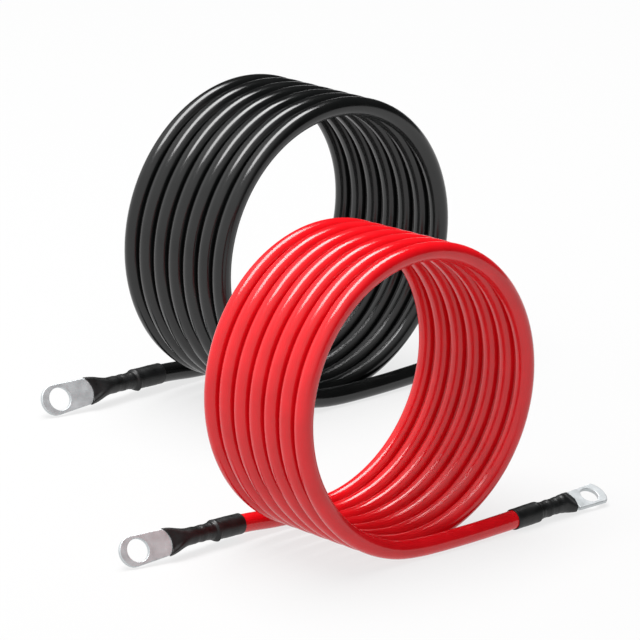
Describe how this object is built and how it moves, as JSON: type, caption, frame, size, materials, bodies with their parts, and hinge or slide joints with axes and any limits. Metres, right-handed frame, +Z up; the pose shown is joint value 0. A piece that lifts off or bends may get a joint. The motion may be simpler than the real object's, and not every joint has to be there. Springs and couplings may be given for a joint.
{
  "type": "ring lug battery cable pair",
  "caption": "Red and black stranded power cables, each in a neat upright coil with a crimped ring lug under a shrink sleeve on both ends.",
  "frame": {"origin": "on the floor under the middle of the pair as it stands", "axes": "+Z up; +X the way the front tails run; each coil has its axis along Y, with its front end towards -Y, and the black cable stands behind the red one"},
  "size_m": [0.3368, 0.2688, 0.1416],
  "materials": {
    "red_insulation": "gloss",
    "black_insulation": "gloss",
    "shrink_sleeve": "satin",
    "tinned_copper": "satin",
    "bare_copper": "satin"
  },
  "bodies": {
    "red_cable": {"red_coil_jacket": "red_insulation", "red_coil_conductor": "bare_copper", "red_rear_tail_jacket": "red_insulation", "red_rear_tail_conductor": "bare_copper", "red_rear_lug": "tinned_copper", "red_rear_sleeve": "shrink_sleeve", "red_front_tail_jacket": "red_insulation", "red_front_tail_conductor": "bare_copper", "red_front_lug": "tinned_copper", "red_front_sleeve": "shrink_sleeve"},
    "black_cable": {"black_coil_jacket": "black_insulation", "black_coil_conductor": "bare_copper", "black_rear_tail_jacket": "black_insulation", "black_rear_tail_conductor": "bare_copper", "black_rear_lug": "tinned_copper", "black_rear_sleeve": "shrink_sleeve", "black_front_tail_jacket": "black_insulation", "black_front_tail_conductor": "bare_copper", "black_front_lug": "tinned_copper", "black_front_sleeve": "shrink_sleeve"}
  },
  "joints": [
    {"name": "black_cable_lift", "type": "slide", "parent": "red_cable", "child": "black_cable", "axis": [0, 0, 1], "range_m": [0, 0.15]}
  ]
}
